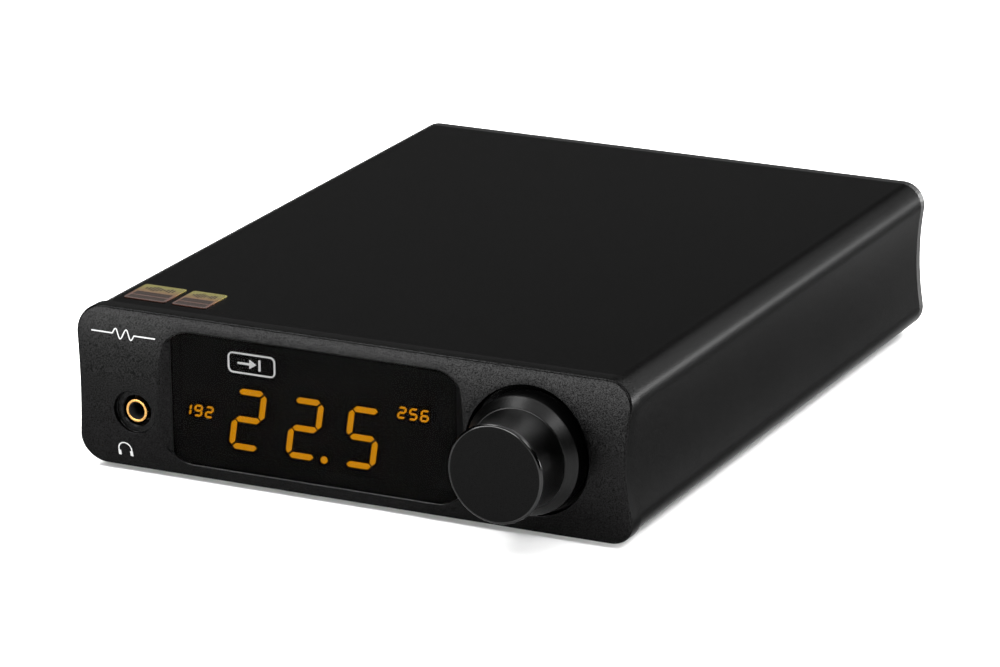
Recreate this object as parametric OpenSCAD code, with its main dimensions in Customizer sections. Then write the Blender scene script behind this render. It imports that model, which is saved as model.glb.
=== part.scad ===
// Desktop DAC and headphone amplifier: an extruded sleeve between two end panels. The front panel
// carries a recessed display, a push-and-turn volume knob and a headphone socket; the rear panel
// carries the line, digital, USB, aerial and power sockets.
// X points to the right of the front panel, Y to the back and Z up. The origin is the centre of the
// box around the whole object, at the underside of the feet.

/* [Casing] */
// Width of the front panel across its corner rolls
body_w = 120; // [116:0.5:130]
// Height of the front panel
panel_h = 32.7; // [32:0.1:38]
// Length from the crown of the front panel to the outside of the rear panel
body_d = 146.9; // [135:0.1:180]
// Corner radius of the front panel
corner_r = 5.2; // [4:0.1:7]
// How far the side walls curve in at mid height
waist = 0.9; // [0.5:0.1:1.5]
// Thickness of the front panel at its crown
panel_t = 5.2; // [5:0.1:7]
// How far the top and bottom edges of the front face lie behind its crown
crown = 2.2; // [1:0.1:2.6]
// Step from the front panel down to the sleeve, all round
step = 0.5; // [0.2:0.1:1]
// Wall thickness of the sleeve
wall = 2; // [1.6:0.1:2.5]
// Thickness of the rear panel
rear_t = 2; // [1.5:0.1:3]

/* [Display] */
// Left edge of the window, from the middle of the panel
window_left = -39.3; // [-40:0.1:-38]
// Right edge of the window, from the middle of the panel
window_right = 23.1; // [20:0.1:23.3]
// Height of the recess
recess_h = 27; // [24:0.1:27]
// Lower edge of the recess above the lower edge of the panel
recess_low = 2.7; // [2.5:0.1:4]
// Corner radius of the recess
recess_r = 7; // [5:0.1:9]
// Depth of the window behind the crown of the panel
window_deep = 1.7; // [1.6:0.1:2.2]
// Sideways run of the recess side walls per unit of depth
recess_slope = 1.4; // [1:0.1:1.5]
// Height of the large figures
digit_h = 12.5; // [8:0.1:13]
// Lean of the figures in degrees
digit_lean = 9; // [0:1:12]

/* [Volume knob] */
// Knob axis to the right of the middle of the panel
knob_x = 38.6; // [37.8:0.1:40]
// Knob axis above the lower edge of the panel
knob_up = 16.5; // [16:0.1:17]
// How far the knob stands out in front of the crown of the panel
knob_out = 13.4; // [11:0.1:18]
// Radius of the knob's grip
knob_r = 9.85; // [9.2:0.05:10.2]
// Radius of the knob's skirt
skirt_r = 11.85; // [11:0.05:12.1]
// Radius of the well around the knob
well_r = 12.9; // [12.5:0.05:13.1]
// Depth of the well behind the crown of the panel
well_deep = 3.6; // [3.4:0.1:3.8]
// Travel of the push switch under the knob
press_travel = 0.5; // [0.2:0.1:0.6]

/* [Headphone socket] */
// Socket axis to the left of the middle of the panel
phone_x = -47.1; // [-48:0.1:-46.8]
// Socket axis above the lower edge of the panel
phone_up = 12.2; // [12:0.1:14]
// Bore for the plug
phone_bore_r = 1.77; // [1.76:0.01:1.8]
// Radius of the countersunk face round the socket
phone_well_r = 4.45; // [3.5:0.05:4.6]

/* [Rear sockets] */
// Length of the phono barrels outside the rear panel
barrel_out = 8.6; // [8:0.1:10]
// Radius of the phono barrels
barrel_r = 4.15; // [4.1:0.05:4.2]
// Centre distance of the two line outputs
line_pitch = 16; // [14:0.5:18]
// Radius of the pin in the DC inlet
dc_pin_r = 1.05; // [1:0.05:1.25]

/* [Feet] */
// Height of the feet under the sleeve
foot_h = 1.6; // [1.5:0.1:4]
// Radius of the feet
foot_r = 6; // [4:0.5:8]

/* [Hidden] */
$fn = 64;
gap = 0.05;
// Front-to-back places
overall_d = knob_out + body_d + barrel_out;
face_y = knob_out - overall_d / 2;
panel_back = face_y + panel_t;
rear_y = face_y + body_d;
rear_in = rear_y - rear_t;
// Heights
sleeve_z = foot_h;
panel_z = sleeve_z - step;
sleeve_w = body_w - 2 * step;
sleeve_h = panel_h - 2 * step;
sleeve_r = corner_r - step;
sleeve_top = sleeve_z + sleeve_h;
floor_z = sleeve_z + wall;
roof_z = sleeve_top - wall;
mid_z = panel_z + panel_h / 2;
knob_z = panel_z + knob_up;
phone_z = panel_z + phone_up;
crown_r = (pow(panel_h / 2, 2) + crown * crown) / (2 * crown);
// Screw channels of the sleeve
channel_r = 2.6;
channel_bore = 1.25;
channel_x = sleeve_w / 2 - 4.9;
channel_low = floor_z + 1.4;
channel_high = roof_z - 1.4;
// Boards
board_t = 1.6;
board_z = sleeve_z + 6.5;
board_top = board_z + board_t;
board_w = sleeve_w - 2 * wall - 3.2;
board_y = panel_back + 1;
front_board_y = panel_back + 7;
part_z = board_top + gap;
// Display
window_y = face_y + window_deep;
window_t = 1.3;
recess_z = panel_z + recess_low;
screen_y = window_y + window_t;
screen_left = window_left + 1.6;
screen_right = window_right - 1.6;
screen_low = recess_z + 2.5;
screen_high = recess_z + recess_h - 2.5;
digit_w = 6.9;
digit_t = 1.1;
digit_gap = 0.33;
digit_z = recess_z + 4.2;
digit_pitch = 12.53;
digit_x = -27.56;
point_r = 0.7;
point_x = digit_x + 2 * digit_pitch - 4;
point_z = digit_z + 0.5;
legend_w = 1.75;
legend_h = 2.4;
legend_t = 0.34;
legend_gap = 0.06;
legend_pitch = 2.45;
badge_w = 10.4;
badge_h = 4.2;
badge_t = 0.25;
lit_t = 0.3;
module_w = screen_right - screen_left - 4.8;
// Encoder
bushing_r = 3.5;
shaft_r = 3;
shaft_flat = 1.5;
nut_t = 2;
washer_t = 0.4;
bushing_out = 1.7;
rotor_y = panel_back + 1;
// Rear socket places
line_left_x = -46;
line_right_x = line_left_x + line_pitch;
coax_x = -13;
optical_x = 3;
usb_x = 19;
aerial_x = 34;
dc_x = 47;
socket_up = 7.5;
line_z = board_top + socket_up;
aerial_z = line_z + 1;
// Foot places
foot_x = 41;
foot_inset = 18;

// Points along an arc, from angle a0 to angle a1
function arc(x, y, r, a0, a1, n) =
    [for (i = [0:n]) let (a = a0 + (a1 - a0) * i / n) [x + r * cos(a), y + r * sin(a)]];

// Right side of the section, top to bottom: a corner roll, a hollow waist and a corner roll
function side(w, h, r, s) =
    let (k = h / 2 - r, reach = (s * s + k * k) / (2 * s), bend = atan(k / (reach - s)))
    concat(arc(w / 2 - r, h - r, r, 90, -bend, 9),
        [for (i = [1:9]) let (a = 180 - bend + 2 * bend * i / 10, q = reach - r)
            [w / 2 - s + q + q * cos(a), h / 2 + q * sin(a)]],
        arc(w / 2 - r, r, r, bend, -90, 9));

function mirrored(points) = [for (i = [len(points) - 1:-1:0]) [-points[i][0], points[i][1]]];

function rounded_points(w, h, r, n = 8) =
    concat(arc(w / 2 - r, h / 2 - r, r, 90, 0, n), arc(w / 2 - r, r - h / 2, r, 0, -90, n),
        arc(r - w / 2, r - h / 2, r, -90, -180, n), arc(r - w / 2, h / 2 - r, r, 180, 90, n));

// Points of an upright figure leaned to the right
function leaned(points) = [for (p = points) [p[0] + p[1] * tan(digit_lean), p[1]]];

module outline(w, h, r, s) {
    right = side(w, h, r, s);
    polygon(concat(right, mirrored(right)));
}

// A flat shape drawn in X and Z, drawn out along Y
module along_y(y0, y1)
    translate([0, y1, 0]) rotate([90, 0, 0]) linear_extrude(height = y1 - y0) children();

module rod_y(x, z, r, y0, y1)
    translate([x, y1, z]) rotate([90, 0, 0]) cylinder(r = r, h = y1 - y0);

module tube_y(x, z, r, bore, y0, y1) difference() {
    rod_y(x, z, r, y0, y1);
    rod_y(x, z, bore, y0 - 1, y1 + 1);
}

module block(x, w, y0, y1, z0, z1)
    translate([x - w / 2, y0, z0]) cube([w, y1 - y0, z1 - z0]);

// A turned piece on an axis along Y; the profile is [radius, distance out of the face]
module turned(x, z, y = face_y)
    translate([x, y, z]) rotate([90, 0, 0]) rotate_extrude($fn = 96) children();

module both_sides() {
    children();
    mirror([1, 0, 0]) children();
}

// Casing ---------------------------------------------------------------------------------------

module sleeve_section() difference() {
    outline(sleeve_w, sleeve_h, sleeve_r, waist);
    translate([0, wall])
        outline(sleeve_w - 2 * wall, sleeve_h - 2 * wall, sleeve_r - wall, waist);
}

// Two ribs on each side wall hold an edge of the main board
module board_ribs(y0, y1) {
    rib = 1.2;
    for (z = [board_z - gap - rib, board_top + gap])
        block(sleeve_w / 2 - wall - 1.3, 3, y0, y1, z, z + rib);
}

module sleeve() color([0.07, 0.07, 0.075]) difference() {
    union() {
        translate([0, 0, sleeve_z]) along_y(panel_back, rear_in) sleeve_section();
        both_sides() {
            board_ribs(panel_back, rear_in);
            for (z = [channel_low, channel_high]) rod_y(channel_x, z, channel_r, panel_back, rear_in);
        }
    }
    both_sides() {
        for (z = [channel_low, channel_high])
            rod_y(channel_x, z, channel_bore, panel_back - 1, rear_in + 1);
        translate([tab_x, tab_y, 0]) underside_screw_room();
    }
}

tab_x = 33;
tab_w = 12;
tab_d = 9;
tab_y = panel_back + 5;
tab_h = 2.6;
screw_r = 1.25;
screw_head_r = 2.3;

module underside_screw_room() {
    translate([0, 0, sleeve_z - 1]) cylinder(r = screw_r + 0.1, h = wall + 2);
    translate([0, 0, sleeve_z - gap]) cylinder(r1 = screw_head_r + 0.1, r2 = screw_r + 0.1, h = 1.2);
}

module underside_screws() color([0.15, 0.15, 0.16]) both_sides() translate([tab_x, tab_y, sleeve_z])
    difference() {
        union() {
            cylinder(r1 = screw_head_r, r2 = screw_r, h = 1.2);
            cylinder(r = screw_r, h = wall + 2.2);
        }
        translate([0, 0, -1]) cylinder(r = 0.8, h = 1.7, $fn = 6);
    }

// The side walls of the recess slope; its corners are round
module recess_cut() {
    out = 1;
    run = recess_slope * (window_deep + out);
    intersection() {
        translate([0, 0, panel_z]) linear_extrude(height = panel_h) polygon([
            [window_left - run, face_y - out], [window_right + run, face_y - out],
            [window_right, window_y], [window_left, window_y]]);
        along_y(face_y - 2 * out, window_y + out) recess_corners(0);
    }
}

module recess_corners(grow) {
    run = recess_slope * window_deep + grow;
    w = window_right - window_left + 2 * run;
    translate([(window_left + window_right) / 2, recess_z + recess_h / 2])
        polygon(rounded_points(w, recess_h + 2 * grow, recess_r, 10));
}

module window_shape(grow) intersection() {
    recess_corners(grow);
    translate([window_left - grow, recess_z - 1])
        square([window_right - window_left + 2 * grow, recess_h + 2]);
}

module front_panel() color([0.13, 0.13, 0.135]) difference() {
    union() {
        intersection() {
            translate([0, 0, panel_z]) along_y(face_y, panel_back)
                outline(body_w, panel_h, corner_r, waist);
            translate([-body_w, face_y + crown_r, mid_z]) rotate([0, 90, 0])
                cylinder(r = crown_r, h = 2 * body_w, $fn = 360);
        }
        both_sides() {
            block(tab_x, tab_w, panel_back, panel_back + tab_d, floor_z + gap, floor_z + tab_h);
            block(tab_x + 11, tab_w, panel_back, panel_back + tab_d - 3, roof_z - 1.6, roof_z - gap);
        }
    }
    recess_cut();
    along_y(window_y - 0.2, screen_y) window_shape(0);
    block((screen_left + screen_right) / 2, screen_right - screen_left, face_y, panel_back + 1,
        screen_low, screen_high);
    rod_y(knob_x, knob_z, well_r, face_y - 1, face_y + well_deep);
    rod_y(knob_x, knob_z, bushing_r + 0.1, face_y, panel_back + 1);
    rod_y(phone_x, phone_z, phone_well_r, face_y - 1, face_y + 1.3);
    rod_y(phone_x, phone_z, 3.05, face_y, panel_back + 1);
    both_sides() translate([tab_x, tab_y, floor_z - 1]) cylinder(r = screw_r + 0.02, h = tab_h + 2);
}

module screw_head_y(x, z, r, head_r, y, length) difference() {
    union() {
        rod_y(x, z, r, y - length, y);
        rod_y(x, z, head_r, y, y + 1.5);
    }
    translate([x, y + 2, z]) rotate([90, 0, 0]) cylinder(r = 0.45 * head_r, h = 1.6, $fn = 6);
}

module rear_screws() color([0.15, 0.15, 0.16]) both_sides()
    for (z = [channel_low, channel_high])
        screw_head_y(channel_x, z, channel_bore - 0.02, 2.5, rear_y, 9);

module rear_panel() color([0.08, 0.08, 0.085]) difference() {
    translate([0, 0, sleeve_z]) along_y(rear_in, rear_y) outline(sleeve_w, sleeve_h, sleeve_r, waist);
    both_sides() for (z = [channel_low, channel_high])
        rod_y(channel_x, z, channel_bore + 0.15, rear_in - 1, rear_y + 1);
    for (x = [line_left_x, line_right_x, coax_x])
        rod_y(x, line_z, barrel_r + 0.25, rear_in - 1, rear_y + 1);
    block(optical_x, optical_w + 0.2, rear_in - 1, rear_y + 1, part_z - 0.1, part_z + optical_h + 0.1);
    block(usb_x, usb_w + 0.2, rear_in - 1, rear_y + 1, part_z - 0.1, part_z + usb_h + 0.1);
    rod_y(aerial_x, aerial_z, aerial_r + 0.1, rear_in - 1, rear_y + 1);
    rod_y(dc_x, dc_z, dc_nose_r + 0.1, rear_in - 1, rear_y + 1);
    for (x = socket_screw_x)
        rod_y(x, socket_screw_z, socket_screw_r + 0.15, rear_in - 1, rear_y + 1);
}

module foot(x, y) color([0.05, 0.05, 0.05]) translate([x, y, 0]) rotate_extrude()
    polygon(concat([[0, 0]], arc(foot_r - 0.4, 0.4, 0.4, -90, 0, 4), [[foot_r, foot_h], [0, foot_h]]));

module foot_front_left() foot(-foot_x, face_y + foot_inset);
module foot_front_right() foot(foot_x, face_y + foot_inset);
module foot_rear_left() foot(-foot_x, rear_y - foot_inset);
module foot_rear_right() foot(foot_x, rear_y - foot_inset);

// Two small foil labels side by side near the front left corner of the top
module top_labels() color([0.55, 0.36, 0.12]) {
    label_t = 0.15;
    label_y = face_y + 9.4;
    label_d = 9.1;
    for (place = [[-49.5, 9.4], [-39.5, 7.7]])
        block(place[0], place[1], label_y, label_y + label_d, sleeve_top, sleeve_top + label_t);
}

// Display --------------------------------------------------------------------------------------

module display_window() color([0.02, 0.02, 0.02])
    along_y(window_y, screen_y - gap) window_shape(-gap);

module display_module() color([0.03, 0.03, 0.03])
    translate([screen_left + 0.2, screen_y + gap + lit_t, screen_low + 0.2])
        cube([module_w, front_board_y - screen_y - gap - lit_t, screen_high - screen_low - 0.4]);

// Lit bar between two places, pointed at both ends
module bar(x0, z0, x1, z1, t) {
    length = norm([x1 - x0, z1 - z0]);
    ux = (x1 - x0) / length;
    uz = (z1 - z0) / length;
    h = t / 2;
    polygon(leaned([[x0, z0], [x0 + h * ux - h * uz, z0 + h * uz + h * ux],
        [x1 - h * ux - h * uz, z1 - h * uz + h * ux], [x1, z1],
        [x1 - h * ux + h * uz, z1 - h * uz - h * ux], [x0 + h * ux + h * uz, z0 + h * uz - h * ux]]));
}

// Which bars of a seven-bar figure are lit: top, upper right, lower right, bottom, lower left,
// upper left, middle
function lit_bars(n) = [
    [1, 1, 1, 1, 1, 1, 0], [0, 1, 1, 0, 0, 0, 0], [1, 1, 0, 1, 1, 0, 1], [1, 1, 1, 1, 0, 0, 1],
    [0, 1, 1, 0, 0, 1, 1], [1, 0, 1, 1, 0, 1, 1], [1, 0, 1, 1, 1, 1, 1], [1, 1, 1, 0, 0, 0, 0],
    [1, 1, 1, 1, 1, 1, 1], [1, 1, 1, 1, 0, 1, 1]][n];

// A seven-bar figure of bars t thick, each drawn back from its corners by s
module figure(n, w, h, t, s) {
    e = t / 2;
    ends = [[[e, h - e], [w - e, h - e]], [[w - e, h - e], [w - e, h / 2]], [[w - e, h / 2], [w - e, e]],
        [[e, e], [w - e, e]], [[e, h / 2], [e, e]], [[e, h - e], [e, h / 2]], [[e, h / 2], [w - e, h / 2]]];
    for (i = [0:6]) if (lit_bars(n)[i] == 1) {
        a = ends[i][0];
        b = ends[i][1];
        u = (b - a) / norm(b - a);
        bar(a[0] + s * u[0], a[1] + s * u[1], b[0] - s * u[0], b[1] - s * u[1], t);
    }
}

module lit(z) translate([0, 0, z]) along_y(screen_y + gap, screen_y + gap + lit_t) children();

module display_digits() color([0.95, 0.6, 0.08]) {
    figures = [2, 2, 5];
    for (i = [0:2]) lit(digit_z) translate([digit_x + i * digit_pitch, 0])
        figure(figures[i], digit_w, digit_h, digit_t, digit_gap);
    lit(point_z) translate([point_x, 0]) circle(r = point_r, $fn = 24);
}

// A small pair of figures each side of the large ones
module legend(x, z, figures) for (i = [0:len(figures) - 1])
    lit(z) translate([x + legend_pitch * i, 0])
        figure(figures[i], legend_w, legend_h, legend_t, legend_gap);

module display_legends() color([0.95, 0.6, 0.08]) {
    legend(-37.7, recess_z + 9.6, [1, 9, 2]);
    legend(9.6, recess_z + 15.6, [2, 5, 6]);
}

// A rounded frame round an arrow that points into a bar
module display_badge() color([0.95, 0.95, 0.95]) lit(recess_z + 21.9) translate([-22, 0]) {
    difference() {
        polygon(rounded_points(badge_w, badge_h, 1.1, 6));
        polygon(rounded_points(badge_w - 2 * badge_t, badge_h - 2 * badge_t, 1.1 - badge_t, 6));
    }
    polygon([[-3, 0.17], [-0.4, 0.17], [-0.4, 0.9], [1, 0], [-0.4, -0.9], [-0.4, -0.17], [-3, -0.17]]);
    translate([1.6, -1.1]) square([0.34, 2.2]);
}

module infrared_receiver() color([0.05, 0.04, 0.05]) {
    x = screen_right - 2.3;
    z = recess_z + 16.5;
    block(x, 3.8, screen_y + 2, front_board_y, z - 3, z + 3);
    rod_y(x, z, 1.6, screen_y + 0.6, screen_y + 2.5);
}

module front_board() color([0.05, 0.2, 0.1]) difference() {
    block(5.2, 92.4, front_board_y, front_board_y + board_t, board_top + 1, roof_z - 3);
    rod_y(knob_x, knob_z, 1.2, front_board_y - 1, front_board_y + board_t + 1);
}

// Angled pins that join the front board to the main board
module board_header() color([0.1, 0.1, 0.1]) {
    back = front_board_y + board_t;
    for (x = [-24, 0]) {
        difference() {
            block(x, 20, back, back + 2.5, part_z, part_z + 2.5);
            for (i = [0:7]) translate([x - 8.75 + 2.5 * i, back + 1.25, part_z - 1])
                cylinder(r = 0.4, h = 5, $fn = 16);
        }
        for (i = [0:7]) translate([x - 8.75 + 2.5 * i, back + 1.25, part_z])
            cylinder(r = 0.38, h = 4, $fn = 16);
    }
}

// Volume control -------------------------------------------------------------------------------

module encoder_body() color([0.1, 0.1, 0.1]) difference() {
    block(knob_x, 12, panel_back + 0.9, front_board_y - 1.5, knob_z - 6, knob_z + 6);
    rod_y(knob_x, knob_z, 5.1, panel_back, rotor_y + 2.4);
    rod_y(knob_x, knob_z, 3.3, panel_back, front_board_y);
}

module encoder_bushing() color([0.7, 0.7, 0.72]) difference() {
    union() {
        block(knob_x, 12, panel_back + gap, panel_back + 0.9, knob_z - 6, knob_z + 6);
        rod_y(knob_x, knob_z, bushing_r, face_y - bushing_out, panel_back + 0.5);
    }
    rod_y(knob_x, knob_z, shaft_r + 0.05, face_y - bushing_out - 1, panel_back + 2);
}

module encoder_washer() color([0.75, 0.75, 0.76])
    tube_y(knob_x, knob_z, 5.8, bushing_r + gap, face_y + well_deep - washer_t, face_y + well_deep);

module encoder_nut() color([0.75, 0.75, 0.76]) difference() {
    nut_y = face_y + well_deep - washer_t;
    translate([knob_x, nut_y, knob_z]) rotate([90, 0, 0]) cylinder(r = 5.6, h = nut_t, $fn = 6);
    rod_y(knob_x, knob_z, bushing_r + 0.02, nut_y - nut_t - 1, nut_y + 1);
}

module encoder_switch() color([0.12, 0.12, 0.12])
    block(knob_x, 8, front_board_y - 1.45, front_board_y - gap, knob_z - 4, knob_z + 4);

// The rotor turns in the body; the shaft slides in the rotor and turns it by a flat
module d_shape(r, flat) intersection() {
    circle(r = r);
    translate([-r, -flat]) square([2 * r, r + flat]);
}

module encoder_rotor() color([0.85, 0.83, 0.75]) translate([knob_x, 0, knob_z])
    along_y(rotor_y, rotor_y + 2.2) difference() {
        circle(r = 4.9);
        d_shape(shaft_r + 0.05, shaft_flat + 0.05);
    }

module encoder_shaft() color([0.72, 0.72, 0.74]) {
    step_y = face_y - bushing_out + 0.2;
    tail_y = rotor_y - press_travel - 0.3;
    rod_y(knob_x, knob_z, shaft_r, step_y, tail_y);
    translate([knob_x, 0, knob_z]) {
        along_y(face_y - 9.7, step_y) d_shape(shaft_r, shaft_flat);
        along_y(tail_y, front_board_y - 1.5 - press_travel - 0.1) d_shape(shaft_r, shaft_flat);
    }
}

module knob_profile() {
    grip_low = 3.75;
    grip_high = knob_out - 0.6;
    hollow = 0.35;
    polygon(concat(
        [[0, 2.7], [3.9, 2.7], [3.9, -0.4], [8.2, -0.4], [8.2, -2.6], [skirt_r - 0.3, -2.6],
            [skirt_r, -2.3], [skirt_r, 1.9]],
        [for (i = [0:10]) let (t = i / 10)
            [knob_r - hollow * (1 - pow(2 * t - 1, 2)), grip_low + (grip_high - grip_low) * t]],
        arc(knob_r - 0.5, knob_out - 0.5, 0.5, 20, 90, 4),
        [[0, knob_out]]));
}

module volume_knob() color([0.09, 0.09, 0.095]) difference() {
    turned(knob_x, knob_z) knob_profile();
    translate([knob_x, 0, knob_z]) along_y(face_y - 10, face_y) d_shape(shaft_r + 0.02, shaft_flat + 0.02);
    translate([knob_x, face_y - 7, knob_z - skirt_r]) cylinder(r = 1.5, h = skirt_r - 1);
}

module knob_set_screw() color([0.15, 0.15, 0.16]) translate([knob_x, face_y - 7, knob_z - 8]) difference() {
    cylinder(r = 1.47, h = 8 - shaft_flat - 0.03);
    translate([0, 0, -1]) cylinder(r = 0.75, h = 2.5, $fn = 6);
}

// Headphone socket -----------------------------------------------------------------------------

module phone_ring() color([0.8, 0.6, 0.25])
    tube_y(phone_x, phone_z, 2.4, phone_bore_r, face_y + 1.2, panel_back + gap);

module phone_body() color([0.06, 0.06, 0.06]) difference() {
    block(phone_x, 7, panel_back + gap, panel_back + 12.5, part_z, phone_z + 3.5);
    rod_y(phone_x, phone_z, phone_bore_r, panel_back, panel_back + 11.5);
}

module phone_contacts() color([0.75, 0.7, 0.5]) for (side = [-1, 1]) for (y = [4, 9])
    block(phone_x + side * 3.65, 0.3, panel_back + y - 1, panel_back + y + 1, part_z, phone_z + 1);

// Boards ---------------------------------------------------------------------------------------

// The board reaches forward under the headphone socket and stops short of the display
module main_board() color([0.05, 0.22, 0.11]) difference() {
    block(0, board_w, board_y, rear_in - 0.2, board_z, board_top);
    translate([phone_x + 5, board_y - 1, board_z - 1])
        cube([body_w, front_board_y - board_y + 1 + gap, board_t + 2]);
}

// Phono sockets --------------------------------------------------------------------------------

module phono_barrel(x) color([0.8, 0.65, 0.35]) difference() {
    union() {
        rod_y(x, line_z, barrel_r, rear_y, rear_y + barrel_out);
        rod_y(x, line_z, barrel_r - 0.2, rear_in, rear_y);
    }
    rod_y(x, line_z, 3.4, rear_in - 1, rear_y + barrel_out + 1);
}

module phono_insulator(x)
    tube_y(x, line_z, 3.38, 2.1, rear_in, rear_y + barrel_out - 1.4);

module line_left_barrel() phono_barrel(line_left_x);
module line_right_barrel() phono_barrel(line_right_x);
module coax_barrel() phono_barrel(coax_x);
module line_left_insulator() color([0.9, 0.9, 0.88]) phono_insulator(line_left_x);
module line_right_insulator() color([0.75, 0.1, 0.08]) phono_insulator(line_right_x);
module coax_insulator() color([0.08, 0.08, 0.08]) phono_insulator(coax_x);

module phono_contacts() color([0.8, 0.65, 0.35]) for (x = [line_left_x, line_right_x, coax_x])
    tube_y(x, line_z, 2.08, 1.62, rear_in, rear_y + barrel_out - 1.8);

module phono_housings() color([0.07, 0.07, 0.07]) for (x = [line_left_x, line_right_x, coax_x])
    difference() {
        block(x, 12.4, rear_in - 10, rear_in - gap, part_z, line_z + 6);
        rod_y(x, line_z, 1.62, rear_in - 4, rear_y);
        rod_y(x + socket_screw_aside, socket_screw_z, socket_screw_r, rear_in - 6, rear_y);
    }

// Each phono housing is held by one screw, clear of a plug on the barrel
socket_screw_r = 1;
socket_screw_aside = 4.8;
socket_screw_z = line_z - 5.8;
socket_screw_x = [for (x = [line_left_x, line_right_x, coax_x]) x + socket_screw_aside];

module socket_screws() color([0.15, 0.15, 0.16]) for (x = socket_screw_x)
    screw_head_y(x, socket_screw_z, socket_screw_r - 0.02, 1.8, rear_y, 6);

// Optical socket -------------------------------------------------------------------------------

optical_w = 9.8;
optical_h = 10;
optical_mouth = 8.2;
optical_z0 = part_z + 1;
hinge_z = optical_z0 + optical_mouth - 0.75;
hinge_y = rear_y - 0.8;
hinge_r = 0.4;

module optical_socket() color([0.06, 0.06, 0.06]) difference() {
    block(optical_x, optical_w, rear_in - 11, rear_y + 0.4, part_z, part_z + optical_h);
    block(optical_x, optical_mouth, rear_y - 9, rear_y + 1, optical_z0, optical_z0 + optical_mouth);
    translate([optical_x - 4.6, hinge_y, hinge_z]) rotate([0, 90, 0])
        cylinder(r = hinge_r + 0.05, h = 9.2);
}

module optical_shutter() color([0.1, 0.1, 0.1]) {
    leaf_t = 0.8;
    leaf_w = optical_mouth - 0.4;
    block(optical_x, leaf_w, hinge_y - leaf_t / 2, hinge_y + leaf_t / 2, optical_z0 + 0.2, hinge_z + 0.45);
    translate([optical_x - 4.5, hinge_y, hinge_z]) rotate([0, 90, 0]) cylinder(r = hinge_r, h = 9);
}

// USB socket -----------------------------------------------------------------------------------

usb_w = 12;
usb_h = 10.9;
usb_z = part_z + usb_h / 2;

// Opening with its two upper corners cut off
module usb_mouth(w, h, cut) polygon([[-w / 2, -h / 2], [w / 2, -h / 2], [w / 2, h / 2 - cut],
    [w / 2 - cut, h / 2], [cut - w / 2, h / 2], [-w / 2, h / 2 - cut]]);

module usb_shell() color([0.75, 0.75, 0.77]) translate([usb_x, 0, usb_z])
    along_y(rear_y - 15.5, rear_y + 0.5) difference() {
        square([usb_w, usb_h], center = true);
        square([usb_w - 0.8, usb_h - 0.8], center = true);
    }

module usb_insulator() color([0.92, 0.92, 0.9]) translate([usb_x, 0, usb_z]) {
    along_y(rear_y - 9, rear_y + 0.3) difference() {
        square([usb_w - 0.9, usb_h - 0.9], center = true);
        usb_mouth(8.9, 8.2, 1.8);
    }
    along_y(rear_y - 15.4, rear_y - 9) square([usb_w - 0.9, usb_h - 0.9], center = true);
    along_y(rear_y - 9, rear_y - 1) square([5.6, 3.2], center = true);
}

module usb_contacts() color([0.8, 0.65, 0.35]) for (side = [-1, 1]) for (x = [-1.25, 1.25])
    block(usb_x + x, 1, rear_y - 8.9, rear_y - 1.8, usb_z + side * 1.7 - 0.08, usb_z + side * 1.7 + 0.08);

// Aerial socket --------------------------------------------------------------------------------

aerial_r = 3.15;

module aerial_socket() color([0.8, 0.65, 0.35]) difference() {
    union() {
        rod_y(aerial_x, aerial_z, aerial_r, rear_in - 3, rear_y + 7.6);
        rod_y(aerial_x, aerial_z, 4.6, rear_in - 2, rear_in - gap);
    }
    rod_y(aerial_x, aerial_z, 2.3, rear_y + 1.6, rear_y + 9);
    rod_y(aerial_x, aerial_z, 0.7, rear_in - 4, rear_y + 9);
}

module aerial_nut() color([0.8, 0.65, 0.35]) difference() {
    union() {
        rod_y(aerial_x, aerial_z, 4.9, rear_y, rear_y + 0.5);
        translate([aerial_x, rear_y + 2.5, aerial_z]) rotate([90, 0, 0])
            cylinder(r = 4.6, h = 2.1, $fn = 6);
    }
    rod_y(aerial_x, aerial_z, aerial_r + 0.02, rear_y - 1, rear_y + 4);
}

module aerial_contact() color([0.85, 0.7, 0.4])
    rod_y(aerial_x, aerial_z, 0.68, rear_in - 2.9, rear_y + 6);

// Thin coaxial lead from the socket, back over one bend and down to the wireless module
module aerial_lead() color([0.1, 0.1, 0.1]) {
    lead_r = 0.65;
    bend = 4;
    bend_y = lead_y + bend;
    rod_y(aerial_x, aerial_z, lead_r, bend_y, rear_in - 3.1);
    translate([aerial_x, bend_y, aerial_z - bend]) rotate([0, -90, 0]) rotate([0, 0, -90])
        rotate_extrude(angle = 90) translate([bend, 0]) circle(r = lead_r, $fn = 24);
    translate([aerial_x, lead_y, part_z + 2.3]) cylinder(r = lead_r, h = aerial_z - bend - part_z - 2.3);
}

lead_y = rear_in - 22;

// A small board with a metal can and the lead's connector
module wireless_module() color([0.7, 0.72, 0.75]) {
    y = lead_y - 16;
    block(aerial_x, 13, y, y + 19, part_z, part_z + 1);
    block(aerial_x, 11, y + 2, y + 13, part_z + 1, part_z + 3.2);
    translate([aerial_x, lead_y, part_z]) cylinder(r = 1.4, h = 2.2);
}

// DC inlet -------------------------------------------------------------------------------------

dc_nose_r = 4.6;
dc_z = board_top + 6;

module dc_socket() color([0.06, 0.06, 0.06]) difference() {
    union() {
        block(dc_x, 9, rear_in - 12, rear_in - gap, part_z, dc_z + 5);
        rod_y(dc_x, dc_z, dc_nose_r, rear_in - 1, rear_y + 0.3);
    }
    rod_y(dc_x, dc_z, 3.2, rear_in - 8, rear_y + 1);
    rod_y(dc_x, dc_z, dc_pin_r + 0.02, rear_in - 10, rear_y);
}

module dc_pin() color([0.8, 0.8, 0.8]) rod_y(dc_x, dc_z, dc_pin_r, rear_in - 10, rear_y - 0.6);

// Electronic components ------------------------------------------------------------------------

module chip(x, y, w, d, h) block(x, w, y - d / 2, y + d / 2, part_z, part_z + h);

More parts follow.
